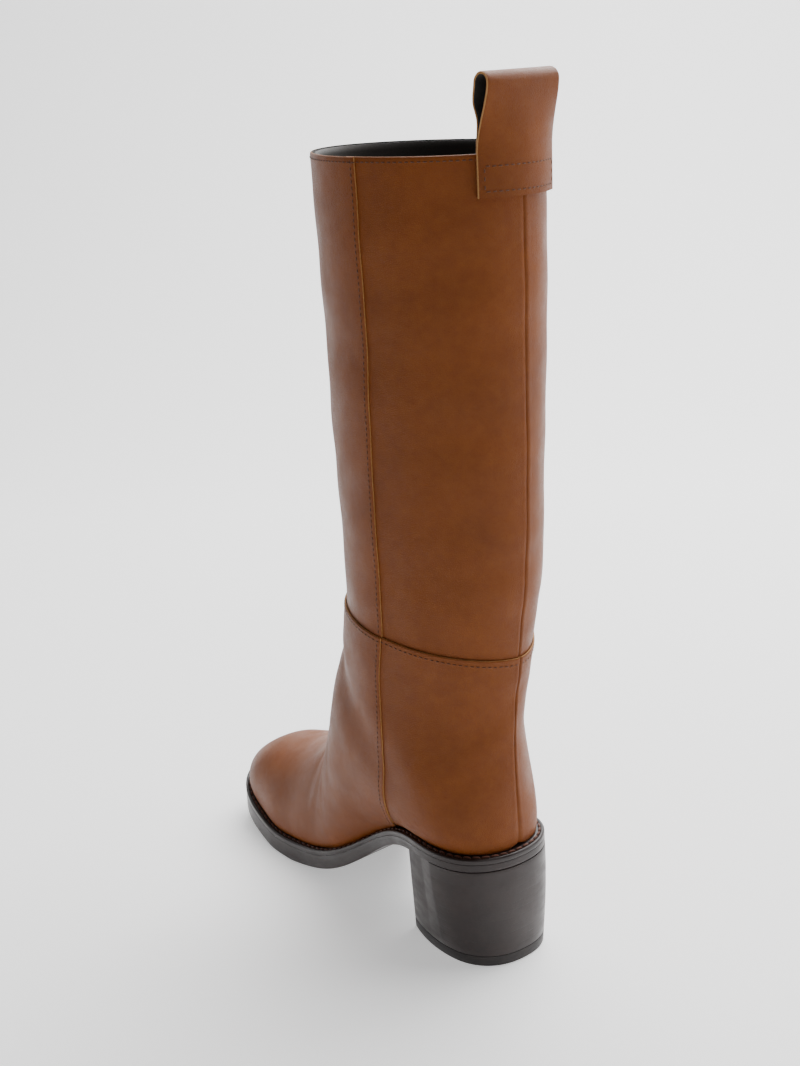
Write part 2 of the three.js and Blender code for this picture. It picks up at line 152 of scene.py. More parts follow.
for base, width, feather in (("baseOuter", "outer", "featherOuter"), ("baseInner", "inner", "featherInner")):
    table[base] = np.array([tuck(i, table[width][i], table[feather][i]) for i in range(len(KNOTS))])
column = {name: spline(KNOTS, values) for name, values in table.items()}


def signed_power(value, power):
    return np.sign(value) * np.abs(value) ** power


def closing(distance, length, power):
    t = np.clip(distance / length, 0, 1)
    return (1 - (1 - t) ** power) ** (1 / power)


def last_point(u, angle):
    """A point on the last at section u; angle 0 is the outer side, a quarter turn the front."""
    u, angle = np.broadcast_arrays(np.asarray(u, float), np.asarray(angle, float))
    c, s = np.cos(angle), np.sin(angle)
    base = np.where(c > 0, column["baseOuter"](u), column["baseInner"](u))
    power = 2 / np.where(s >= 0, column["round"](u), base)
    front = column["frontAlong"](u)
    to_tip = SECTIONS[0][1] - front
    width = np.where(c > 0, column["outer"](u), column["inner"](u)) * closing(to_tip, *TOE_PLAN)
    reach = signed_power(s, power) * closing(to_tip, *TOE_SIDE)
    widest = column["widest"](u)
    share = widest + reach * np.where(reach > 0, 1 - widest, widest)
    along = column["backAlong"](u) + (front - column["backAlong"](u)) * share
    z = column["backZ"](u) + (column["frontZ"](u) - column["backZ"](u)) * share
    return np.stack([signed_power(c, power) * width + column["shift"](u), HEEL_BACK_Y - along, z], -1)


def outwards(u, angle):
    h = 0.05
    low = np.maximum(np.asarray(u, float) - h, 0.02)
    along_u = last_point(low + 2 * h, angle) - last_point(low, angle)
    around = last_point(low + h, angle + 0.01) - last_point(low + h, angle - 0.01)
    normal = np.cross(along_u, around)
    return normal / np.linalg.norm(normal, axis=-1, keepdims=True)


def skin(u, angle, inset):
    """The last's surface moved inwards; inset may be an array."""
    u, angle = np.broadcast_arrays(np.asarray(u, float), np.asarray(angle, float))
    return last_point(u, angle) - outwards(u, angle) * np.asarray(inset, float)[..., None]


def over_sole(point):
    return point[..., 2] - sole_top(HEEL_BACK_Y - point[..., 1]) - 0.15


BACK = -math.pi / 2


def bisect(test, low, high, steps=36):
    """Where test turns from negative (at low) to positive (at high), for arrays."""
    low, high = np.broadcast_arrays(np.asarray(low, float), np.asarray(high, float))
    low, high = low.copy(), high.copy()
    for _ in range(steps):
        middle = (low + high) / 2
        above = test(middle) > 0
        high = np.where(above, middle, high)
        low = np.where(above, low, middle)
    return (low + high) / 2


def sole_reach(inset):
    """The sections between which the surface at this inset stands on the sole."""
    under = lambda u: over_sole(skin(u, BACK, inset))
    toe = float(bisect(lambda u: -under(u), 0.05, 30))
    heel = float(bisect(under, U["seat"], U["counter"]))
    return toe, heel


def feather_angle(u, side, inset):
    """The angle at which section u meets the sole, on the outer (+1) or inner (-1) side."""
    far = 0 if side > 0 else -math.pi
    return bisect(lambda a: over_sole(skin(u, a, inset)), np.full(np.shape(u), BACK), far)


# ---------------------------------------------------------------- seams and creases

SIDE_SEAM = [  # u, degrees below the outer side's middle
    (185, 61), (189, 54.8), (199.5, 37), (207.5, 22), (217, 10), (226, 4.9), (236, 2.9), (252, 5.6),
    (271.5, 9.6), (290.5, 10), (306.5, 8.8), (325, 7.3), (350, 6.9), (449, 7), (560, 7),
]
side_seam_angle = spline([row[0] for row in SIDE_SEAM], [-math.radians(row[1]) for row in SIDE_SEAM])
U_SEAM = U["ankle"]
U_COLLAR = U["collar"]

# Each a soft trough across the boot, as u, degrees, length, width, tilt and depth. Tilt turns it from level,
# and a depth below zero is a ridge.
CREASES = [
    (108, 40, 34, 7, 18, 0.8), (116, 22, 40, 8, 28, -0.7), (124, 30, 44, 7, 30, 0.7),
    (131, 62, 42, 8, 8, -0.6), (139, 35, 44, 8, 24, 0.8), (150, 60, 40, 9, 6, 0.7),
    (112, 118, 38, 8, -14, 0.7), (126, 140, 40, 8, -24, 0.8), (142, 128, 42, 9, -18, 0.7),
    (160, 30, 42, 10, 26, 0.7), (172, 90, 46, 10, 0, 0.9), (185, 88, 50, 10, 4, -0.7),
    (200, 92, 54, 11, -3, 0.8), (282, -72, 34, 7, -26, 0.8), (273, -66, 30, 7, -34, -0.6),
    (291, -84, 46, 7, -10, 0.8), (277, -112, 40, 8, 16, 0.7), (296, -100, 36, 7, 8, -0.5),
    (262, -60, 26, 8, -30, 0.4), (322, -86, 60, 11, 4, 0.6), (236, 60, 44, 12, 10, 0.5),
    (300, 70, 50, 14, 8, 0.5), (352, -70, 60, 16, -8, 0.5), (388, 60, 70, 22, 6, 0.6),
    (405, -100, 66, 20, 8, 0.5), (455, 20, 90, 30, -8, 0.6), (480, 150, 80, 26, 12, 0.6),
    (436, -150, 80, 24, -6, 0.5),
]
CREASE_SHARE = 0.62  # of the depths above
TURN = 46  # mean radius of the boot, which turns radians into millimetres
SEAM_TURN = 60  # and at the side and back seams


def crease_depth(u, angle):
    depth = np.zeros(np.broadcast(u, angle).shape)
    for at_u, degrees, length, width, tilt, deep in CREASES:
        turn = np.angle(np.exp(1j * (angle - math.radians(degrees))))
        x = turn * TURN
        y = u - at_u
        c, s = math.cos(math.radians(tilt)), math.sin(math.radians(tilt))
        on, off = x * c + y * s, y * c - x * s
        off = off - 0.006 * on * on * np.sign(deep)
        depth += deep * np.exp(-(on / length * 1.6) ** 2 - (off / width * 1.7) ** 2)
    return depth * CREASE_SHARE


def slack(u, angle):
    """Slow unevenness of the leather."""
    return (0.22 * np.sin(u * 0.071 + 2.1 * np.sin(angle)) * np.cos(angle * 2 + u * 0.013)
            + 0.14 * np.sin(u * 0.167 + 1.3 * np.cos(angle * 2 + 0.6)))


def free_of_edge(u):
    """Creases fade out towards the collar."""
    return np.clip((U_COLLAR - u) / 14, 0, 1)


def form(u, angle):
    return -(crease_depth(u, angle) + slack(u, angle)) * free_of_edge(u)


# ---------------------------------------------------------------- mesh helpers

def new_piece(name, points, faces, slots, face_slots=None, merge=2e-6):
    """A mesh object from points in millimetres. slots are materials, and the faces carry their indices."""
    mesh = bpy.data.meshes.new(name)
    mesh.from_pydata([tuple(p) for p in (np.asarray(points, float) * MM)], [], faces)
    for material in slots:
        mesh.materials.append(material)
    if face_slots is not None:
        mesh.polygons.foreach_set("material_index", np.asarray(face_slots, np.int32))
    bm = bmesh.new()
    bm.from_mesh(mesh)
    bmesh.ops.remove_doubles(bm, verts=bm.verts, dist=merge)
    bmesh.ops.dissolve_degenerate(bm, edges=bm.edges, dist=1e-7)
    bmesh.ops.recalc_face_normals(bm, faces=bm.faces)
    bm.to_mesh(mesh)
    bm.free()
    mesh.polygons.foreach_set("use_smooth", np.full(len(mesh.polygons), True))
    piece = bpy.data.objects.new(name, mesh)
    bpy.context.scene.collection.objects.link(piece)
    return piece


def sharpen(piece, degrees):
    """Keeps edges sharper than this crisp under smooth shading."""
    mesh = piece.data
    bm = bmesh.new()
    bm.from_mesh(mesh)
    limit = math.radians(degrees)
    for edge in bm.edges:
        if len(edge.link_faces) == 2 and edge.calc_face_angle(0) > limit:
            edge.smooth = False
    bm.to_mesh(mesh)
    bm.free()


def grid_faces(rows, columns, start=0, flip=False):
    faces = []
    for r in range(rows - 1):
        for c in range(columns - 1):
            a = start + r * columns + c
            quad = (a, a + 1, a + columns + 1, a + columns)
            faces.append(quad[::-1] if flip else quad)
    return faces


def sheet(name, outer, inner, slots, closed_rows=None):
    """A closed leather sheet from two grids (rows, columns, 3), with raw edges round its border.
    closed_rows(r) says that row r's two ends meet, so it has no edge there."""
    rows, columns = outer.shape[:2]
    points = np.concatenate([outer.reshape(-1, 3), inner.reshape(-1, 3)])
    offset = rows * columns
    faces = grid_faces(rows, columns)
    kinds = [0] * len(faces)
    back = grid_faces(rows, columns, offset, True)
    faces += back
    kinds += [1] * len(back)
    border = []
    for r in (0, rows - 1):
        line = [r * columns + c for c in range(columns)]
        border += list(zip(line[:-1], line[1:]))
    for c in (0, columns - 1):
        for r in range(rows - 1):
            if closed_rows is not None and closed_rows(r) and closed_rows(r + 1):
                continue
            border.append((r * columns + c, (r + 1) * columns + c))
    for a, b in border:
        faces.append((a, b, b + offset, a + offset))
        kinds.append(2)
    return new_piece(name, points, faces, slots, kinds)


EDGE_STEPS = (0, 0.25, 0.6, 1.2, 2.2)  # distances from a cut edge at which a panel's rows or columns crowd


def edge_shares(count, girth):
    """Columns of a panel as shares of its girth, crowded at both edges."""
    fine = np.array(EDGE_STEPS) / girth
    inside = np.linspace(fine[-1], 1 - fine[-1], count - 2 * len(fine) + 2)
    return np.concatenate([fine[:-1], inside, 1 - fine[:-1][::-1]])


EDGE_ROUND = 0.28


def edge_drop(distance):
    """How far the surface falls within half a millimetre of a cut edge."""
    return EDGE_ROUND * (1 - np.clip(distance / 0.6, 0, 1)) ** 2


# ---------------------------------------------------------------- materials

class Surface:
    """A procedural material whose patterns are measured in millimetres of the boot."""

    def __init__(self, name, roughness, specular=0.5, coat=0.0, coat_roughness=0.2, sheen=0.0):
        self.material = bpy.data.materials.new(name)
        self.material.use_nodes = True
        self.tree = self.material.node_tree
        self.shader = next(n for n in self.tree.nodes if n.type == "BSDF_PRINCIPLED")
        self.shader.inputs["Roughness"].default_value = roughness
        self.shader.inputs["Specular IOR Level"].default_value = specular
        self.shader.inputs["Coat Weight"].default_value = coat
        self.shader.inputs["Coat Roughness"].default_value = coat_roughness
        self.shader.inputs["Sheen Weight"].default_value = sheen
        place = self.node("ShaderNodeTexCoord")
        scale = self.node("ShaderNodeVectorMath", operation="SCALE")
        scale.inputs["Scale"].default_value = 1000
        self.link(place.outputs["Object"], scale.inputs[0])
        self.mm = scale.outputs[0]

    def node(self, kind, **settings):
        made = self.tree.nodes.new(kind)
        for key, value in settings.items():
            setattr(made, key, value)
        return made

    def link(self, a, b):
        self.tree.links.new(a, b)

    def stretched(self, factors):
        made = self.node("ShaderNodeVectorMath", operation="MULTIPLY")
        made.inputs[1].default_value = factors
        self.link(self.mm, made.inputs[0])
        return made.outputs[0]

    def noise(self, size, detail=3, rough=0.55, factors=None, distortion=0.0):
        made = self.node("ShaderNodeTexNoise")
        made.inputs["Scale"].default_value = 1 / size
        made.inputs["Detail"].default_value = detail
        made.inputs["Roughness"].default_value = rough
        made.inputs["Distortion"].default_value = distortion
        self.link(self.stretched(factors) if factors else self.mm, made.inputs["Vector"])
        return made.outputs["Fac"]

    def cells(self, size):
        made = self.node("ShaderNodeTexVoronoi", feature="DISTANCE_TO_EDGE")
        made.inputs["Scale"].default_value = 1 / size
        self.link(self.mm, made.inputs["Vector"])
        return made.outputs["Distance"]

    def span(self, value, low, high, to_low=0.0, to_high=1.0):
        made = self.node("ShaderNodeMapRange", clamp=True)
        for socket, number in zip(("From Min", "From Max", "To Min", "To Max"), (low, high, to_low, to_high)):
            made.inputs[socket].default_value = number
        self.link(value, made.inputs["Value"])
        return made.outputs["Result"]

    def sums(self, a, b, operation="ADD"):
        made = self.node("ShaderNodeMath", operation=operation)
        for socket, value in zip(made.inputs, (a, b)):
            if isinstance(value, (int, float)):
                socket.default_value = value
            else:
                self.link(value, socket)
        return made.outputs[0]

    def mix(self, share, a, b, blend="MIX"):
        made = self.node("ShaderNodeMix", data_type="RGBA", blend_type=blend)
        for socket, value in ((made.inputs["Factor"], share), (made.inputs[6], a), (made.inputs[7], b)):
            if isinstance(value, (int, float)):
                socket.default_value = value
            elif isinstance(value, tuple):
                socket.default_value = (*value, 1)
            else:
                self.link(value, socket)
        return made.outputs[2]

    def bump(self, *layers):
        """layers are (height, depth in millimetres)."""
        normal = None
        for height, depth in layers:
            made = self.node("ShaderNodeBump")
            made.inputs["Strength"].default_value = 1
            made.inputs["Distance"].default_value = depth * MM
            self.link(height, made.inputs["Height"])
            if normal is not None:
                self.link(normal, made.inputs["Normal"])
            normal = made.outputs["Normal"]
        self.link(normal, self.shader.inputs["Normal"])

    def finish(self, colour, roughness=None):
        self.link(colour, self.shader.inputs["Base Color"])
        if roughness is not None:
            self.link(roughness, self.shader.inputs["Roughness"])
        return self.material


LIFTS = [10.6, 15.2, 19.6, 24.2, 28.5, 33.1, 37.4, 42.1, 46.3, 50.4]  # joints of the heel's leather layers
STACK_SPAN = 60  # height that takes in every joint
JOINT_HALF = 0.22  # half a joint line's height

TAN = (0.190, 0.048, 0.0042)
TAN_DEEP = (0.126, 0.030, 0.0027)
TAN_PALE = (0.26, 0.080, 0.010)


def leather(name, light=1.0):
    s = Surface(name, 0.42, specular=0.19)
    tone = lambda c: tuple(v * light for v in c)
    clouds = s.span(s.noise(38, 2, 0.5, distortion=0.4), 0.30, 0.72, 0.35, 0.85)
    mottle = s.span(s.noise(6.5, 4, 0.6), 0.34, 0.70)
    pores = s.span(s.cells(0.85), 0.0, 0.16)
    specks = s.span(s.noise(0.9, 2, 0.6), 0.62, 0.75)
    colour = s.mix(clouds, tone(TAN_DEEP), tone(TAN))
    colour = s.mix(s.sums(mottle, 0.22, "MULTIPLY"), colour, tone(TAN_PALE))
    colour = s.mix(s.sums(s.sums(1, pores, "SUBTRACT"), 0.34, "MULTIPLY"), colour, tone(TAN_DEEP))
    colour = s.mix(s.sums(specks, 0.18, "MULTIPLY"), colour, tone(TAN_DEEP))
    rough = s.sums(s.span(s.noise(17, 3, 0.6), 0.3, 0.7, 0.34, 0.48),
                   s.span(pores, 0, 1, 0.08, 0.0))
    wrinkle = s.noise(2.6, 4, 0.62, distortion=0.6)
    s.bump((s.noise(11, 3, 0.5), 0.2), (wrinkle, 0.11), (pores, 0.08), (s.noise(0.35, 2, 0.6), 0.012))
    return s.finish(colour, rough)


def raw_edge():
    s = Surface("raw_leather_edge", 0.7, specular=0.3)
    fibres = s.span(s.noise(0.5, 4, 0.7, factors=(1, 1, 0.4)), 0.3, 0.7)
    blotch = s.span(s.noise(5, 3, 0.6), 0.35, 0.7)
    colour = s.mix(fibres, (0.27, 0.115, 0.032), (0.50, 0.27, 0.105))
    colour = s.mix(s.sums(blotch, 0.5, "MULTIPLY"), colour, (0.34, 0.155, 0.05))
    s.bump((fibres, 0.05))
    return s.finish(colour)


def lining_leather():
    s = Surface("dark_lining", 0.62, specular=0.35, sheen=0.1)
    fibres = s.span(s.noise(0.7, 4, 0.65), 0.3, 0.7)
    clouds = s.span(s.noise(24, 3, 0.5), 0.3, 0.7)
    colour = s.mix(fibres, (0.010, 0.008, 0.007), (0.030, 0.024, 0.020))
    colour = s.mix(s.sums(clouds, 0.4, "MULTIPLY"), colour, (0.022, 0.016, 0.012))
    s.bump((s.noise(1.6, 3, 0.6), 0.06), (fibres, 0.03))
    return s.finish(colour)


def thread(name, dark, light_tone):
    s = Surface(name, 0.6, specular=0.3, sheen=0.15)
    twist = s.span(s.noise(0.45, 2, 0.5, factors=(1, 1, 2)), 0.3, 0.7)
    s.bump((twist, 0.06))
    return s.finish(s.mix(twist, dark, light_tone))


def joint_lines(s, heights):
    """Hairlines at the joints of a stack, broken up along their length."""
    split = s.node("ShaderNodeSeparateXYZ")
    s.link(s.mm, split.inputs[0])
    wander = s.span(s.noise(15, 2, 0.5, factors=(1, 1, 0.2)), 0.3, 0.7, -0.45, 0.45)
    share = s.sums(s.sums(split.outputs["Z"], wander), 1 / STACK_SPAN, "MULTIPLY")
    ramp = s.node("ShaderNodeValToRGB")
    stops = ramp.color_ramp.elements
    for z in heights:
        for at, level in ((z - JOINT_HALF, 0), (z, 1), (z + JOINT_HALF, 0)):
            stop = stops.new(at / STACK_SPAN)
            stop.color = (level, level, level, 1)
    stops[0].color = stops[-1].color = (0, 0, 0, 1)
    s.link(share, ramp.inputs["Fac"])
    broken = s.span(s.noise(7, 3, 0.7, factors=(1, 1, 0.7)), 0.40, 0.60)
    return s.sums(ramp.outputs["Color"], broken, "MULTIPLY")


def dark_edge(name, base, scuff, roughness, joints=None):
    """The waxed dark edge of welt, sole and heel."""
    s = Surface(name, roughness, specular=0.36, coat=0.05, coat_roughness=0.2)
    clouds = s.span(s.noise(16, 4, 0.55), 0.35, 0.7)
    grainy = s.span(s.noise(1.1, 4, 0.65, factors=(0.35, 0.35, 2.4)), 0.35, 0.75)
    scratches = s.span(s.noise(2.4, 5, 0.7, factors=(0.12, 0.12, 3.2), distortion=0.3), 0.60, 0.74)
    colour = s.mix(clouds, base, scuff)
    colour = s.mix(s.sums(grainy, 0.2, "MULTIPLY"), colour, tuple(v * 0.55 for v in base))
    colour = s.mix(s.sums(scratches, 0.12, "MULTIPLY"), colour, tuple(v * 2.1 for v in scuff))
    rough = s.span(s.noise(9, 4, 0.6, factors=(0.6, 0.6, 1.6)), 0.3, 0.7, roughness - 0.06, roughness + 0.12)
    layers = [(s.noise(14, 2, 0.5), 0.18), (grainy, 0.01), (scratches, 0.01)]
    if joints:
        line = joint_lines(s, joints)
        colour = s.mix(s.sums(line, 0.5, "MULTIPLY"), colour, (0.003, 0.002, 0.002))
        layers.append((s.sums(1, line, "SUBTRACT"), 0.07))
    s.bump(*layers)
    return s.finish(colour, rough)


def rubber():
    s = Surface("black_rubber", 0.5, specular=0.4)
    dust = s.span(s.noise(7, 4, 0.6), 0.45, 0.8)
    colour = s.mix(dust, (0.013, 0.009, 0.0085), (0.026, 0.017, 0.0155))
    s.bump((s.noise(0.8, 3, 0.6), 0.05))
    return s.finish(colour)


TAN_LEATHER = leather("tan_leather")
TAN_STRAP = leather("tan_strap_leather", 0.96)
RAW = raw_edge()
LINING_DARK = lining_leather()
THREAD = thread("brown_thread", (0.045, 0.014, 0.005), (0.105, 0.036, 0.012))
WELT_THREAD = thread("welt_thread", (0.055, 0.017, 0.009), (0.165, 0.052, 0.026))
WELT_DARK = dark_edge("dark_welt", (0.012, 0.0058, 0.005), (0.018, 0.009, 0.0078), 0.32)
SOLE_DARK = dark_edge("dark_sole", (0.013, 0.0062, 0.0055), (0.020, 0.010, 0.0085), 0.34)
HEEL_DARK = dark_edge("stacked_heel", (0.014, 0.0066, 0.0058), (0.022, 0.011, 0.009), 0.34, LIFTS)
RUBBER = rubber()

# ---------------------------------------------------------------- foot and shaft panels

toe_meets, heel_meets = sole_reach(0.0)


def seam_angle(u):
    """The outer side seam, which starts at the welt."""
    return np.where(u < SIDE_SEAM[0][0], BACK, side_seam_angle(np.maximum(u, SIDE_SEAM[0][0])))


def stands(u):
    """The two angles between which section u stands clear of the sole."""
    on_sole = (u > toe_meets) & (u < heel_meets)
    outer = np.where(on_sole, feather_angle(u, 1, 0.0), BACK)
    inner = np.where(on_sole, feather_angle(u, -1, 0.0), BACK) + 2 * math.pi
    return outer, inner


def edge_rows(u0, u1, step):
    """Sections from u0 to u1, crowded at the upper edge."""
    high = [u1 - d for d in reversed(EDGE_STEPS)]
    count = max(int((high[0] - u0) / step), 2)
    return np.concatenate([np.linspace(u0, high[0], count), high[1:]])


def back_fall(distance):
    """Inset of a back panel: tucked under the front panel at the seam, easing out away from it."""
    return 0.30 + (LEATHER - 0.22) * np.exp(-(np.maximum(distance, 0) / 17) ** 2)


def back_groove(angle):
    """The closed seam up the back."""
    turn = np.angle(np.exp(1j * (angle - BACK))) * TURN
    return 0.55 * np.exp(-(turn / 0.8) ** 2) - 0.16 * np.exp(-((np.abs(turn) - 2.4) / 1.5) ** 2)


NOSE = 34  # u up to which the sections crowd towards the toe's tip
FRONT_GIRTH = 200  # of the foot's front panel
SHAFT_GIRTH = 180  # and the shaft's
BACK_GIRTH = 90  # and a quarter panel's


def foot_front():
    tip = toe_meets * np.linspace(0.12, 1, 9)[:-1] ** 1.8
    nose = toe_meets + (NOSE - toe_meets) * np.linspace(0, 1, 40) ** 1.5
    u = np.concatenate([tip, nose[:-1], edge_rows(NOSE, U_SEAM, 1.45)])
    first, last = stands(u)
    seam = seam_angle(u)
    left = np.maximum(first, seam)
    right = np.minimum(last, math.pi - seam)
    shares = edge_shares(150, 190)
    angle = left[:, None] + (right - left)[:, None] * shares
    rows = u[:, None]
    seamed = (u > SIDE_SEAM[0][0] + 3)[:, None]
    from_edge = np.minimum(shares, 1 - shares) * FRONT_GIRTH
    drop = np.where(seamed, edge_drop(from_edge), 0) + edge_drop(U_SEAM - rows)
    lift = form(rows, angle)
    outer = skin(rows, angle, drop - lift)
    inner = skin(rows, angle, LEATHER - lift)
    closed = len(tip)
    return sheet("foot_front", outer, inner, (TAN_LEATHER, LINING_DARK, RAW), lambda r: r <= closed)


def back_panel(name, side, u, columns, base, drop):
    """A quarter panel from the back seam round to under the front panel, outer (+1) or inner
    (-1). It lies base inside the last, and its outer face falls by drop at its upper edge."""
    start = np.where(u < heel_meets, feather_angle(u, side, 0.0), BACK) + (0 if side > 0 else 2 * math.pi)
    seam = seam_angle(u) if side > 0 else math.pi - seam_angle(u)
    end = seam + side * LAP_UNDER / SEAM_TURN
    end = np.maximum(end, start) if side > 0 else np.minimum(end, start)
    angle = start[:, None] + (end - start)[:, None] * edge_shares(columns, BACK_GIRTH)
    rows = u[:, None]
    away = side * (seam[:, None] - angle) * SEAM_TURN
    inset = base + back_fall(away) + back_groove(angle) - form(rows, angle)
    outer = skin(rows, angle, inset + drop)
    inner = skin(rows, angle, inset + LEATHER)
    if side < 0:
        outer, inner = outer[:, ::-1], inner[:, ::-1]
    return sheet(name, outer, inner, (TAN_LEATHER, LINING_DARK, RAW))


def foot_back(name, side):
    u = edge_rows(SIDE_SEAM[0][0], U_SEAM, 1.3)
    return back_panel(name, side, u, 96, 0.0, edge_drop(U_SEAM - u[:, None]))


SHAFT_INSET = 1.3
SHAFT_FOOT = U_SEAM - 8  # the shaft's lower end, under the ankle seam's lap
FOLD_ROUND = 0.75


def shaft_front():
    u = edge_rows(SHAFT_FOOT, U_COLLAR, 1.6)
    seam = seam_angle(u)
    shares = edge_shares(120, 170)
    angle = seam[:, None] + (math.pi - 2 * seam)[:, None] * shares
    rows = u[:, None]
    drop = edge_drop(np.minimum(shares, 1 - shares) * SHAFT_GIRTH) + fold(rows)
    lift = form(rows, angle)
    outer = skin(rows, angle, SHAFT_INSET + drop - lift)
    inner = skin(rows, angle, SHAFT_INSET + LEATHER - lift)
    return sheet("shaft_front", outer, inner, (TAN_LEATHER, LINING_DARK, RAW))


def fold(rows):
    """The turned edge of the collar."""
    return FOLD_ROUND * (1 - np.sqrt(1 - (1 - np.clip((U_COLLAR - rows) / 1.3, 0, 1)) ** 2))


def shaft_back(name, side):
    u = edge_rows(SHAFT_FOOT, U_COLLAR, 1.7)
    return back_panel(name, side, u, 80, SHAFT_INSET, fold(u[:, None]))


def lining():
    inset = LINING_INSET + 0.2
    toe, heel = sole_reach(inset)
    tip = toe * np.linspace(0.2, 1, 6)[:-1] ** 1.6
    on = toe + (heel - toe) * np.concatenate([np.linspace(0, 0.12, 14)[:-1], np.linspace(0.12, 1, 70)])
    up = np.linspace(heel, U_COLLAR - 0.6, 90)[1:]
    u = np.concatenate([tip, on, up])
    closed = (np.arange(len(u)) <= len(tip)) | (u >= heel - 1e-6)
    first = np.where(closed, BACK, feather_angle(u, 1, inset))
    last = np.where(closed, BACK + 2 * math.pi, feather_angle(u, -1, inset) + 2 * math.pi)
    shares = np.linspace(0, 1, 97)
    angle = first[:, None] + (last - first)[:, None] * shares
    rows = u[:, None]
    deep = inset + np.clip((rows - U_SEAM + 30) / 20, 0, 1) - form(rows, angle)
    outer = skin(rows, angle, deep)
    inner = skin(rows, angle, deep + LINING)
    return sheet("lining", outer, inner, (LINING_DARK,) * 3, lambda r: bool(closed[r]))


upper_pieces = [foot_front(), foot_back("foot_back_outer", 1), foot_back("foot_back_inner", -1)]
shaft_pieces = [shaft_front(), shaft_back("shaft_back_outer", 1), shaft_back("shaft_back_inner", -1)]
lining_piece = lining()
for piece in upper_pieces + shaft_pieces:
    sharpen(piece, 50)

# ---------------------------------------------------------------- welt, outsole, heel


def feather_line(side):
    """Where the upper meets the welt's top face, from the toe to the heel."""
    middle, half = (toe_meets + heel_meets) / 2, (heel_meets - toe_meets) / 2
    u = middle - half * np.cos(np.linspace(0.004, math.pi - 0.004, 420))
    angle = feather_angle(u, side, 0.0)
    return last_point(u, angle)


def evenly(loop, count):
    """count points evenly spaced round a closed loop."""
    line = np.concatenate([loop, loop[:1]])
    steps = np.linalg.norm(np.diff(line, axis=0), axis=1)
    at = np.concatenate([[0], np.cumsum(steps)])
    wanted = np.linspace(0, at[-1], count, endpoint=False)
    return np.stack([np.interp(wanted, at, line[:, k]) for k in range(line.shape[1])], -1)


def smoothed(loop, times):
    for _ in range(times):
        loop = (np.roll(loop, 1, 0) + 2 * loop + np.roll(loop, -1, 0)) / 4
    return loop


def moved_out(loop, offset):
    """A closed loop in plan moved outwards."""
    after = np.roll(loop, -1, 0)
    tangent = after - np.roll(loop, 1, 0)
    tangent /= np.maximum(np.linalg.norm(tangent, axis=1, keepdims=True), 1e-9)
    turn = np.sign(np.sum(loop[:, 0] * after[:, 1] - after[:, 0] * loop[:, 1]))
    return loop + offset * turn * np.stack([tangent[:, 1], -tangent[:, 0]], -1)


feather = np.concatenate([feather_line(1), feather_line(-1)[::-1]])
OUTLINE = smoothed(evenly(feather[:, :2], 520), 6)


def ring_at(offset, height):
    """The feather line moved outwards, at a height that is a function of the place along the foot."""
    loop = moved_out(OUTLINE, offset)
    return np.concatenate([loop, height(HEEL_BACK_Y - loop[:, 1])[:, None]], 1)


def wall_faces(rings, count, wrap=False):
    """Faces between each ring of count points and the next; wrap joins the last to the first."""
    faces = []
    for r in range(rings if wrap else rings - 1):
        for i in range(count):
            j = (i + 1) % count
            a, b = r * count, ((r + 1) % rings) * count
            faces.append((a + i, a + j, b + j, b + i))
    return faces


def make_welt():
    """A strip with a stitched groove along its top face and a rounded edge, as (offset, height) round it."""
    profile = [(-WELT_SEAT, 0), (-0.6, 0), (0.5, -0.12), (1.1, -0.42), (1.7, -0.48), (2.3, -0.20),
               (2.9, 0.02), (3.5, -0.05), (3.95, -0.32), (4.22, -0.75), (LEDGE, -1.3), (LEDGE, -3.1),
               (4.2, -3.24), (-WELT_SEAT, -3.24)]
    rings = [ring_at(offset, lambda along, dz=dz: sole_top(along) + dz) for offset, dz in profile]
    faces = wall_faces(len(rings), len(OUTLINE), True)
    return new_piece("welt_strip", np.concatenate(rings), faces, (WELT_DARK,))


def make_outsole():
    """Rings from the top face down the edge to the floor face; each face is closed by a strip across."""
    top = lambda along: welt_under(along) - GAP
    mix = lambda t, drop: (lambda along: top(along) + (sole_under(along) - top(along)) * t - drop)
    profile = [(4.1, mix(0, 0)), (4.24, mix(0, 0.08)), (LEDGE, mix(0, 0.25)), (LEDGE, mix(0.35, 0)),
               (LEDGE, mix(0.65, 0)), (LEDGE, mix(1, -0.55)), (LEDGE - 0.12, mix(1, -0.2)),
               (LEDGE - 0.4, mix(1, -0.03)), (LEDGE - 0.9, mix(1, 0))]
    rings = [ring_at(offset, height) for offset, height in profile]
    count = len(OUTLINE)
    faces = wall_faces(len(rings), count)
    for r, flip in ((0, True), (len(rings) - 1, False)):
        faces += across_faces(rings[r], r * count, flip)
    return new_piece("outsole_slab", np.concatenate(rings), faces, (SOLE_DARK,))


def across_faces(ring, start, flip):
    """Closes a ring, whose points count from start, by joining its two sides across the foot."""
    count = len(ring)
    front, rear = int(np.argmin(ring[:, 1])), int(np.argmax(ring[:, 1]))
    walk = lambda a, b, step: [(a + step * k) % count for k in range(((b - a) * step) % count + 1)]
    one, two = walk(front, rear, 1), walk(front, rear, -1)
    faces = []
    i = j = 0
    while i < len(one) - 1 or j < len(two) - 1:
        ahead = j == len(two) - 1 or (i < len(one) - 1 and ring[one[i + 1], 1] <= ring[two[j + 1], 1])
        tri = (one[i], two[j], one[i + 1]) if ahead else (one[i], two[j], two[j + 1])
        if ahead:
            i += 1
        else:
            j += 1
        if len(set(tri)) == 3:
            tri = tuple(start + k for k in tri)
            faces.append(tri[::-1] if flip else tri)
    return faces


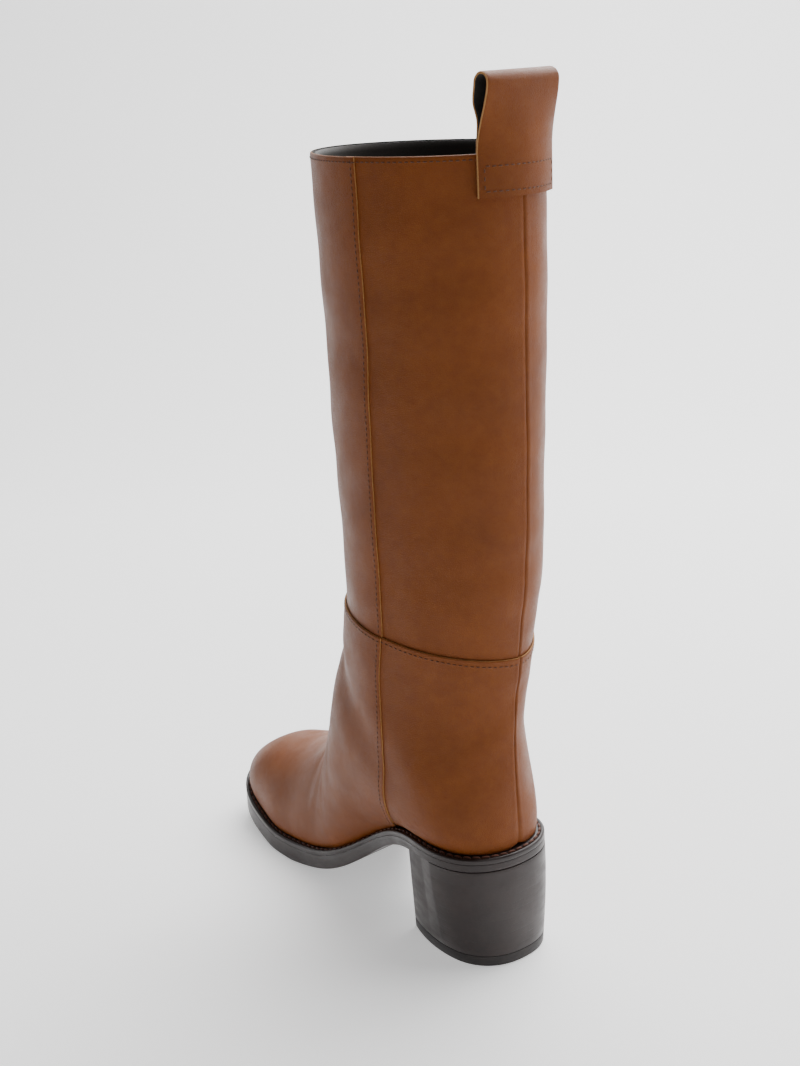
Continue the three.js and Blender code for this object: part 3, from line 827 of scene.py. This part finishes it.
HEEL_COLUMNS = ("z", "back", "breast", "outer", "inner", "breastOuter", "breastInner", "depth", "power")
HEEL = [dict(zip(HEEL_COLUMNS, row)) for row in (
    (0, -0.5, 67.5, 29.5, 28.5, 20.5, 20.5, 30, 2.3), (59, -4, 62, 34.5, 32, 28, 26, 33, 2.3))]
BREAST_HOLLOW = 4
HEEL_MIDDLE = np.array([0.5, 30.0])  # across and along


def flush_with_sole(loop):
    """The heel's outline, across and along, carried out or in to the sole's edge, all but the breast."""
    edge = moved_out(OUTLINE, LEDGE)
    edge = np.stack([edge[:, 0], HEEL_BACK_Y - edge[:, 1]], -1) - HEEL_MIDDLE
    edge = edge[edge[:, 1] < 38]
    bearing = np.arctan2(edge[:, 0], -edge[:, 1])
    order = np.argsort(bearing)
    reach = np.linalg.norm(edge, axis=1)[order]
    arm = loop - HEEL_MIDDLE
    own = np.linalg.norm(arm, axis=1)
    turn = np.arctan2(arm[:, 0], -arm[:, 1])
    wanted = np.interp(turn, bearing[order], reach)
    keep = np.clip((2.05 - np.abs(turn)) / 0.35, 0, 1)  # the breast's side keeps its own shape
    return HEEL_MIDDLE + arm * (1 + keep * (wanted / own - 1))[:, None]


def heel_ring(z, inset=0.0):
    """The heel's outline at a height, from the outer breast corner round the back to the inner one."""
    t = z / HEEL[1]["z"]
    at = {name: HEEL[0][name] + (HEEL[1][name] - HEEL[0][name]) * t for name in HEEL_COLUMNS}
    widest = at["back"] + at["depth"]
    loop = []
    for side, half, corner in ((1, at["outer"], at["breastOuter"]), (-1, at["inner"], at["breastInner"])):
        s = np.linspace(1, 0, 40, endpoint=False)
        flank = np.stack([side * (half + (corner - half) * s * s), widest + (at["breast"] - widest) * s], -1)
        if side > 0:
            loop.append(flank)
            angle = np.linspace(0, math.pi, 121)
            across = signed_power(np.cos(angle), 2 / at["power"])
            loop.append(np.stack([across * np.where(across > 0, at["outer"], at["inner"]),
                                  widest - np.sin(angle) ** (2 / at["power"]) * at["depth"]], -1))
        else:
            loop.append(flank[::-1])
    s = np.linspace(-1, 1, 42)[1:-1]
    corner = np.where(s > 0, at["breastOuter"], at["breastInner"])
    loop.append(np.stack([s * corner, at["breast"] - BREAST_HOLLOW * (1 - s * s)], -1))
    loop = smoothed(np.concatenate(loop), 1)
    loop = moved_out(loop + (flush_with_sole(loop) - loop) * min(t, 1) ** 1.5, -inset)
    return np.stack([loop[:, 0], HEEL_BACK_Y - loop[:, 1], np.full(len(loop), float(z))], -1)


HEEL_FLAT = 51.2  # above this the block follows the sole
HEEL_TOP = 5  # how much further up the outline is taken there


def capped(rings):
    """Points and faces of a stack of rings, closed by a fan at each end."""
    count = len(rings[0])
    points = np.concatenate([*rings, rings[0].mean(0)[None], rings[-1].mean(0)[None]])
    faces = wall_faces(len(rings), count)
    for r, hub, step in ((0, len(points) - 2, -1), (len(rings) - 1, len(points) - 1, 1)):
        faces += [(hub, r * count + i, r * count + (i + 1) % count)[::step] for i in range(count)]
    return points, faces


def make_heel():
    levels = [(TOP_PIECE + GAP, 0.12), (TOP_PIECE + GAP + 0.3, 0.0)]
    levels += [(z, 0.0) for z in LIFTS] + [(HEEL_FLAT, 0.0)]
    rings = [heel_ring(z, inset) for z, inset in levels]
    flat = rings[-1]
    for share in (0.35, 0.7, 0.96, 1.0):
        ring = heel_ring(HEEL_FLAT + HEEL_TOP * share, 0.12 if share == 1 else 0)
        roof = sole_under(HEEL_BACK_Y - ring[:, 1]) - GAP
        ring[:, 2] = flat[:, 2] + (roof - flat[:, 2]) * share
        rings.append(ring)
    return new_piece("heel_stack", *capped(rings), (HEEL_DARK,))


def make_top_piece():
    levels = [(0, 0.5), (0.12, 0.2), (0.45, 0.02), (TOP_PIECE - 0.3, 0), (TOP_PIECE, 0.1)]
    rings = [heel_ring(z, inset) for z, inset in levels]
    return new_piece("heel_tread", *capped(rings), (RUBBER,))


welt_piece, outsole_piece = make_welt(), make_outsole()
heel_piece, tread_piece = make_heel(), make_top_piece()
for piece in (welt_piece, outsole_piece, heel_piece, tread_piece):
    sharpen(piece, 40)

# ---------------------------------------------------------------- pull loop

STRAP = dict(half_width=23, thick=1.4, sewn=20, rise=36, curl=5, flatness=0.85)
STRAP_BOW = [(0.8, 6), (3.6, 15), (8.9, 22)]  # the front ply's set inwards, and its height
STRAP_BACK = [19, 10, -1]  # heights of the straight back ply
FOLD_STEPS = 12


def loop_route():
    """The strap's middle line, as distance out from the shaft and height above the collar."""
    inner = GAP + STRAP["thick"] / 2
    outer = inner + STRAP["thick"] + GAP
    sewn, curl = STRAP["sewn"], STRAP["curl"]
    route = [(inner, up) for up in (-sewn, -sewn / 2, -1)]
    route += [(inner - inwards, up) for inwards, up in STRAP_BOW]
    for i in range(FOLD_STEPS + 1):
        angle = math.pi - math.pi * i / FOLD_STEPS
        route.append((outer - curl + curl * math.cos(angle), STRAP["rise"] - curl + curl * math.sin(angle)))
    route += [(outer, up) for up in (*STRAP_BACK, -sewn / 2, -sewn)]
    route = np.array(route)
    at = np.concatenate([[0], np.cumsum(np.linalg.norm(np.diff(route, axis=0), axis=1))])
    wanted = np.linspace(0, at[-1], 150)
    return np.stack([spline(at, route[:, k])(wanted) for k in range(2)], -1)


def shaft_back_angle(x):
    """The angle at the collar's back at which the shaft's surface is x off the middle."""
    low = np.full(np.shape(x), BACK - 0.9)
    return bisect(lambda a: skin(U_COLLAR, a, SHAFT_INSET)[..., 0] - x, low, BACK + 0.9)


def on_strap(x, out, up):
    """A point of the strap: on the curve of the shaft where it is sewn, and flattening towards the fold."""
    angle = shaft_back_angle(x)
    u = U_COLLAR + np.minimum(up, 0)
    lift = np.maximum(up, 0)
    sewn = skin(u, angle, SHAFT_INSET - out)
    straight = skin(np.full(np.shape(x), U_COLLAR), np.full(np.shape(x), BACK), SHAFT_INSET - out)
    t = np.clip(lift / STRAP["rise"], 0, 1)
    flat = t * t * (3 - 2 * t) * STRAP["flatness"]
    return np.stack([sewn[..., 0] + (x - sewn[..., 0]) * flat,
                     sewn[..., 1] + (straight[..., 1] - sewn[..., 1]) * flat, sewn[..., 2] + lift], -1)


def make_pull_loop():
    route = loop_route()
    tangent = np.gradient(route, axis=0)
    tangent /= np.linalg.norm(tangent, axis=1, keepdims=True)
    normal = np.stack([-tangent[:, 1], tangent[:, 0]], -1)
    half = STRAP["thick"] / 2
    width = STRAP["half_width"]
    # Across the strap: face, rounded raw edge, back face, other edge.
    face = np.concatenate([[-1, -0.985, -0.96], np.linspace(-0.9, 0.9, 23), [0.96, 0.985, 1]])
    drop = np.where(np.abs(face) > 0.99, 0.35, np.where(np.abs(face) > 0.97, 0.1, 0.0))
    xs = np.concatenate([face, face[::-1]]) * width
    offs = np.concatenate([half - drop, drop[::-1] - half])
    count = len(xs)
    rings = [on_strap(xs, p[0] + n[0] * offs, p[1] + n[1] * offs) for p, n in zip(route, normal)]
    points = np.concatenate(rings)
    faces, kinds = [], []
    n = len(face)
    for r in range(len(rings) - 1):
        for i in range(count):
            j = (i + 1) % count
            faces.append((r * count + i, r * count + j, (r + 1) * count + j, (r + 1) * count + i))
            edge = i in (0, n - 2, n - 1, n, count - 2, count - 1)
            kinds.append(2 if edge else (0 if i < n else 1))
    for r in (0, len(rings) - 1):
        for i in range(n - 1):
            faces.append(tuple(r * count + k for k in (i, i + 1, count - 2 - i, count - 1 - i)))
            kinds.append(2)
    return new_piece("pull_strap", points, faces, (TAN_STRAP, LINING_DARK, RAW), kinds)


strap_piece = make_pull_loop()
sharpen(strap_piece, 45)

# ---------------------------------------------------------------- stitches


def stitch_row(points, normals, pitch, length, radius, sink, rise, slant=0.0, closed=False):
    """Points and faces of a row of thread stitches along a line on a surface."""
    line = np.concatenate([points, points[:1]]) if closed else points
    along = np.concatenate([normals, normals[:1]]) if closed else normals
    at = np.concatenate([[0], np.cumsum(np.linalg.norm(np.diff(line, axis=0), axis=1))])
    count = max(int(at[-1] / pitch), 1)
    starts = np.linspace(0, at[-1], count, endpoint=False) + (at[-1] / count - length) / 2
    take = lambda values, where: np.stack([np.interp(where, at, values[:, k]) for k in range(3)], -1)
    rings, sides = 7, 6
    verts, faces = [], []
    for first in starts:
        where = first + length * np.linspace(0, 1, rings)
        middle, up = take(line, where), take(along, where)
        up /= np.linalg.norm(up, axis=1, keepdims=True)
        forward = np.gradient(middle, axis=0)
        forward /= np.linalg.norm(forward, axis=1, keepdims=True)
        side = np.cross(forward, up)
        side /= np.linalg.norm(side, axis=1, keepdims=True)
        t = np.linspace(-1, 1, rings)
        height = rise - (sink + rise) * np.abs(t) ** 3
        swell = radius * np.sqrt(np.clip(1.02 - np.abs(t) ** 4, 0.05, 1))
        core = middle + up * height[:, None] + side * (slant * t)[:, None]
        start = len(verts)
        for k in range(rings):
            for q in range(sides):
                angle = 2 * math.pi * q / sides
                verts.append(core[k] + (side[k] * math.cos(angle) + up[k] * math.sin(angle)) * swell[k])
        for k in range(rings - 1):
            for q in range(sides):
                a, b = start + k * sides + q, start + k * sides + (q + 1) % sides
                faces.append((a, b, b + sides, a + sides))
        faces.append(tuple(start + q for q in range(sides))[::-1])
        faces.append(tuple(start + (rings - 1) * sides + q for q in range(sides)))
    return verts, faces


def stitched(name, rows, material):
    points, faces = [], []
    for verts, made in rows:
        faces += [tuple(i + len(points) for i in face) for face in made]
        points += verts
    return new_piece(name, np.array(points), faces, (material,), merge=1e-9)


def beside_seam(u0, u1, side, off, inset):
    """A line on the front panel, off millimetres from its seam edge."""
    u = np.linspace(u0, u1, 400)
    angle = side_seam_angle(u)
    slope = np.gradient(angle * SEAM_TURN, u)
    length = np.hypot(1, slope)
    moved_angle = angle + off / length / SEAM_TURN
    moved_u = u - off * slope / length
    a = moved_angle if side > 0 else math.pi - moved_angle
    lift = form(moved_u, a)
    return skin(moved_u, a, inset - lift), outwards(moved_u, a)


SEAM_STITCH = dict(pitch=3.0, length=2.35, radius=0.27, sink=0.3, rise=0.1)
rows = []
for side in (1, -1):
    rows.append(stitch_row(*beside_seam(191, U_SEAM - 3.2, side, 2.1, 0.0), **SEAM_STITCH))
    rows.append(stitch_row(*beside_seam(U_SEAM + 1.5, U_COLLAR - 1, side, 2.1, SHAFT_INSET), **SEAM_STITCH))
seam_stitches = stitched("side_seam_stitches", rows, THREAD)


def round_row(edge_u, below, base):
    """A line round the boot, below an upper edge of the panels at edge_u that lie base inside the last."""
    angle = np.linspace(BACK + 0.03, BACK + 2 * math.pi - 0.03, 900)
    u = np.full(len(angle), edge_u - below)
    seam = float(seam_angle(edge_u))
    to_front = np.minimum(angle - seam, math.pi - seam - angle) * SEAM_TURN
    inset = base + np.where(to_front > 0, 0.0, back_fall(-to_front)) - form(u, angle)
    return stitch_row(skin(u, angle, inset), outwards(u, angle), **SEAM_STITCH)


ankle_stitches = stitched("ankle_seam_stitches", [round_row(U_SEAM, 2.3, 0.0)], THREAD)
collar_stitches = stitched("collar_stitches", [round_row(U_COLLAR, 2.5, SHAFT_INSET)], THREAD)

welt_line = ring_at(1.55, lambda along: sole_top(along) - 0.30)
up_normals = np.tile([0.0, 0.0, 1.0], (len(welt_line), 1))
WELT_STITCH = dict(pitch=5.0, length=4.7, radius=0.6, sink=0.25, rise=0.32, slant=0.22, closed=True)
welt_stitches = stitched("welt_stitches", [stitch_row(welt_line, up_normals, **WELT_STITCH)], WELT_THREAD)


def strap_line(x0, up0, x1, up1):
    t = np.linspace(0, 1, 120)
    x, up = x0 + (x1 - x0) * t, up0 + (up1 - up0) * t
    out = GAP * 2 + STRAP["thick"] * 2
    p = on_strap(x, np.full(120, out), up)
    q = on_strap(x, np.full(120, out + 1.0), up)
    return p, (q - p) / np.linalg.norm(q - p, axis=1, keepdims=True)


edge_x, low, high = STRAP["half_width"] - 2.6, -STRAP["sewn"] + 3.0, -STRAP["sewn"] + 14.5
box = [strap_line(-edge_x, low, edge_x, low), strap_line(-edge_x, high, edge_x, high),
       strap_line(-edge_x, low, -edge_x, high), strap_line(edge_x, low, edge_x, high)]
strap_stitches = stitched("pull_strap_stitches", [stitch_row(p, n, **SEAM_STITCH) for p, n in box], THREAD)

# ---------------------------------------------------------------- what stands for what

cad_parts["insole"].data.materials.clear()
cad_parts["insole"].data.materials.append(LINING_DARK)

GROUPS = [
    (upper_pieces, ("upper",), "leather_tan"),
    (shaft_pieces, ("shaft",), "leather_tan"),
    ([strap_piece], ("pull_loop",), "leather_tan"),
    ([welt_piece], ("welt",), "welt_dark"),
    ([outsole_piece], ("outsole",), "outsole_dark"),
    ([heel_piece], ("heel",), "heel_stack"),
    ([tread_piece], ("top_piece",), "rubber_black"),
    ([lining_piece], (), "lining_dark"),
    ([seam_stitches, ankle_stitches, collar_stitches, welt_stitches, strap_stitches], (), "thread_brown"),
]
for pieces, nodes, slot in GROUPS:
    for piece in pieces:
        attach(piece, "root")
        if nodes:
            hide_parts(*nodes)

# ---------------------------------------------------------------- floor, light, camera


def make_floor():
    """A pale floor that curves up into a backdrop behind the boot."""
    profile = [(-1.6, 0.0), (0.9, 0.0)]
    for i in range(1, 17):
        angle = math.pi / 2 * i / 16
        profile.append((0.9 + 0.8 * math.sin(angle), 0.8 * (1 - math.cos(angle))))
    profile.append((1.7, 3.2))
    turn = math.radians(BACKDROP_TURN)
    c, s = math.cos(turn), math.sin(turn)
    points, faces = [], []
    for d, z in profile:
        for w in (-3.0, 3.0):
            points.append(((w * c - d * s) / MM, (w * s + d * c) / MM, (z - 0.0002) / MM))
    for i in range(len(profile) - 1):
        faces.append((2 * i, 2 * i + 1, 2 * i + 3, 2 * i + 2))
    return new_piece("floor", points, faces, (floor_paint(),))


def floor_paint():
    s = Surface("floor_paper", 0.75, specular=0.2)
    s.bump((s.noise(60, 2, 0.5), 0.05))
    s.shader.inputs["Emission Color"].default_value = (1, 1, 1, 1)
    s.shader.inputs["Emission Strength"].default_value = 0.5
    return s.finish(s.mix(s.noise(300, 2, 0.5), (0.82, 0.82, 0.82), (0.84, 0.84, 0.84)))


AZIMUTH = 38.33  # of the viewpoint, from +Y towards +X
ELEVATION = 26.295
ROLL = -2.906  # of the camera
DISTANCE = 0.8556
TARGET = Vector((0.0826, 0.0, 0.1084))
BACKDROP_TURN = 180 - AZIMUTH
AIM_PITCH = 9.3  # the camera turned up from the target, to take in the collar
AIM_YAW = 2.0
LENS = 56.0


def make_camera():
    az, el = math.radians(AZIMUTH), math.radians(ELEVATION)
    back = Vector((math.sin(az) * math.cos(el), math.cos(az) * math.cos(el), math.sin(el)))
    place = TARGET + back * DISTANCE
    el2, az2 = math.radians(ELEVATION - AIM_PITCH), math.radians(AZIMUTH + AIM_YAW)
    aim = -Vector((math.sin(az2) * math.cos(el2), math.cos(az2) * math.cos(el2), math.sin(el2)))
    right = aim.cross(Vector((0, 0, 1))).normalized()
    up = right.cross(aim)
    roll = math.radians(ROLL)
    x = right * math.cos(roll) + up * math.sin(roll)
    y = up * math.cos(roll) - right * math.sin(roll)
    data = bpy.data.cameras.new("camera")
    data.lens = LENS
    data.sensor_width = 36
    data.clip_start = 0.01
    camera = bpy.data.objects.new("camera", data)
    bpy.context.scene.collection.objects.link(camera)
    z = -aim
    camera.matrix_world = Matrix(((x[0], y[0], z[0], place[0]), (x[1], y[1], z[1], place[1]),
                                  (x[2], y[2], z[2], place[2]), (0, 0, 0, 1)))
    bpy.context.scene.camera = camera


def soft_light(name, place, aim, size, power):
    data = bpy.data.lights.new(name, "AREA")
    data.shape = "RECTANGLE"
    data.size, data.size_y = size
    data.energy = power
    light = bpy.data.objects.new(name, data)
    light.location = place
    light.rotation_euler = (Vector(aim) - Vector(place)).to_track_quat("-Z", "Y").to_euler()
    bpy.context.scene.collection.objects.link(light)


make_camera()
make_floor()
soft_light("overhead", (-0.95, -0.3, 1.6), (-0.1, -0.1, 0.1), (1.7, 1.7), 84)
soft_light("right", (-1.2, 1.0, 0.9), (0, 0, 0.18), (0.8, 1.3), 12)
soft_light("front", (0.8, 1.7, 1.3), (0, 0, 0.2), (1.2, 1.2), 7)
world = bpy.data.worlds.new("studio")
world.use_nodes = True
world.node_tree.nodes["Background"].inputs["Color"].default_value = (1, 1, 1, 1)
world.node_tree.nodes["Background"].inputs["Strength"].default_value = 0.1
bpy.context.scene.world = world
